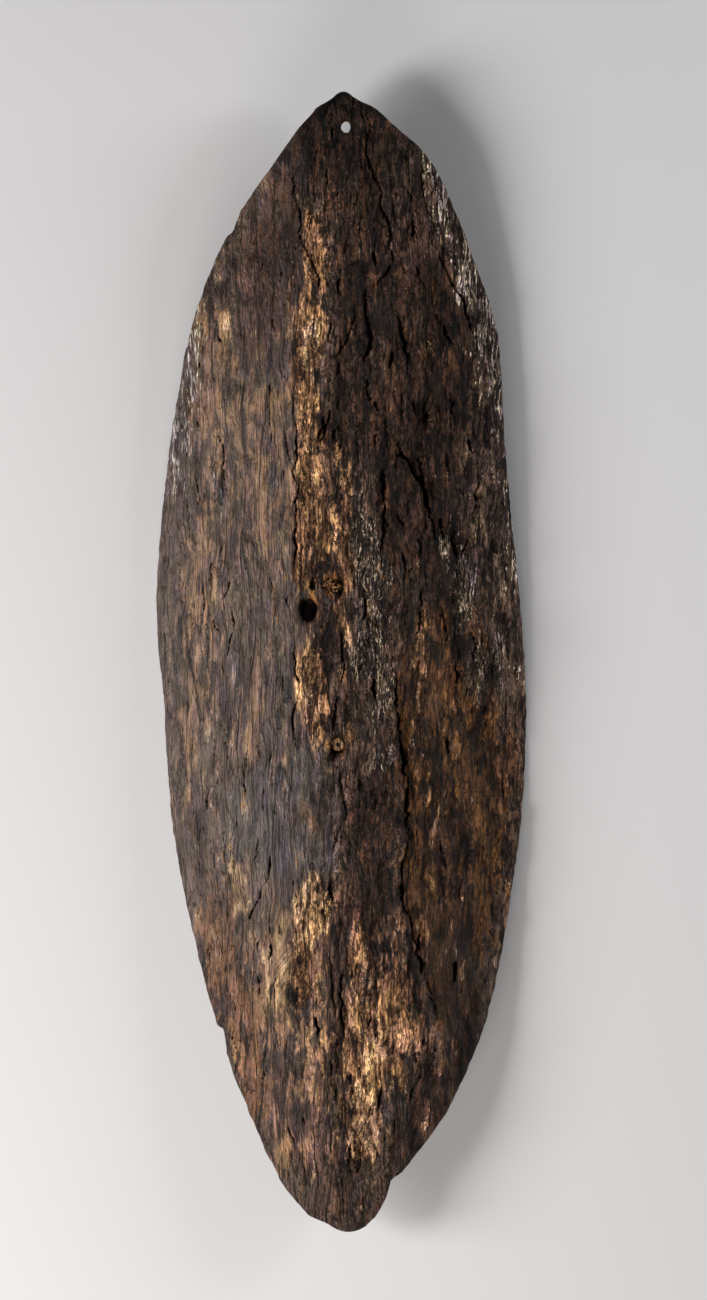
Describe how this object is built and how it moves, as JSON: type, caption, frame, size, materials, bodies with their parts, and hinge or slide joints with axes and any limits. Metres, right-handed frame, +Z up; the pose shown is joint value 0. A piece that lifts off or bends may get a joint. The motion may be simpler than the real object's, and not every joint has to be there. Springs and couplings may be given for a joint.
{
  "type": "bark shield",
  "caption": "Leaf-shaped bark shield, convex in front, with a bent-stick grip through its hollow back and a hanging hole near the sharper tip.",
  "frame": {"origin": "on the ground, under the middle of the shield's length and width", "axes": "+Z up, out of the convex front; +Y along the length, towards the sharper tip with the hanging hole; +X to the right of the front"},
  "size_m": [0.316, 0.97, 0.0748],
  "materials": {
    "bark": "weathered, cracked and flaking bark with a worn dull polish",
    "stick": "bent peeled stick, polished by the hand, with splintered ends"
  },
  "bodies": {
    "root": {"bark_sheet": "bark", "handle": "stick"}
  },
  "joints": []
}
